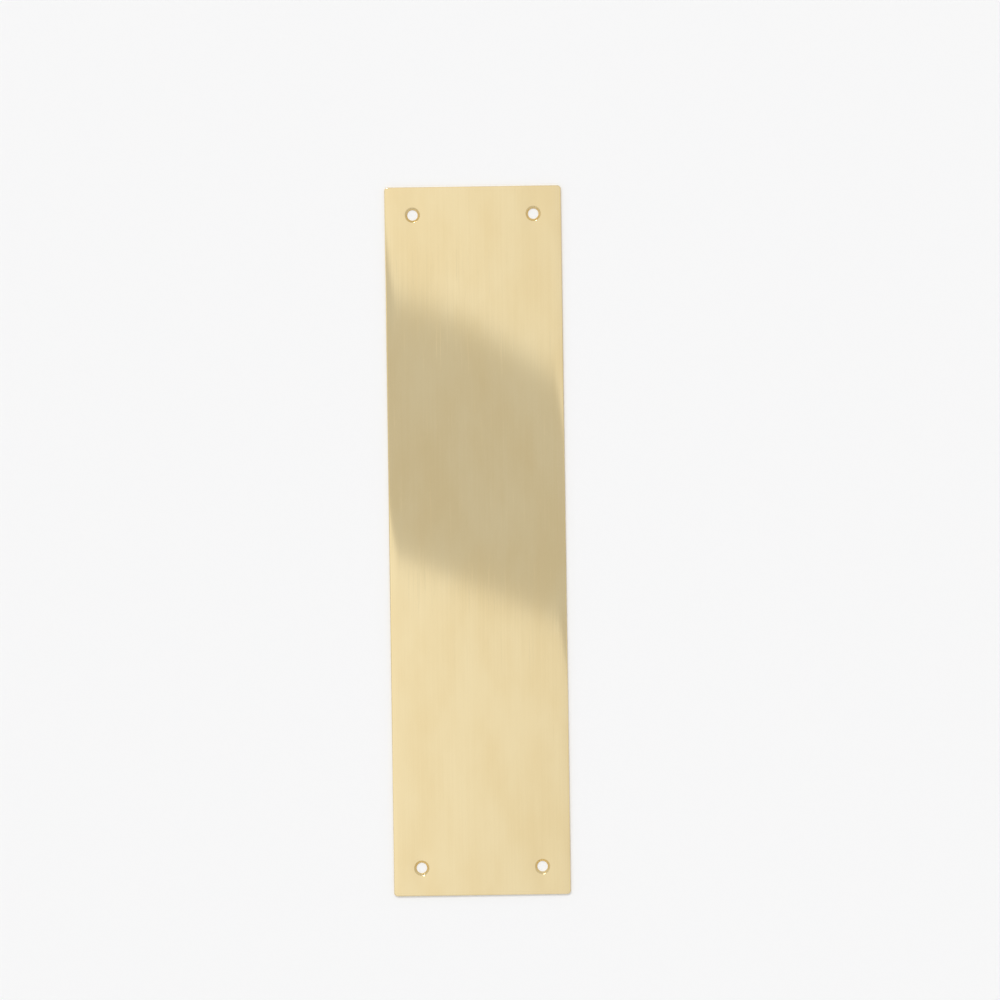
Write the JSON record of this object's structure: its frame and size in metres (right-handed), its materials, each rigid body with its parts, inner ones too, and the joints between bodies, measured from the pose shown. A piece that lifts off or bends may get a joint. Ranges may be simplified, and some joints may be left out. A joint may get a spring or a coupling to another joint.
{
  "type": "door finger plate",
  "caption": "Flat rectangular brass finger plate for a door, polished on the front, with softened edges and a countersunk fixing hole near each corner.",
  "frame": {"origin": "middle of the back face, which lies on the door", "axes": "+Z out of the polished front face, +Y along the length, +X across the width"},
  "size_m": [0.076, 0.305, 0.0012],
  "materials": {
    "polished_brass": "mirror polished on the front face and edges, plain rolled sheet on the back"
  },
  "bodies": {
    "root": {"finger_plate": "polished_brass"}
  },
  "joints": []
}
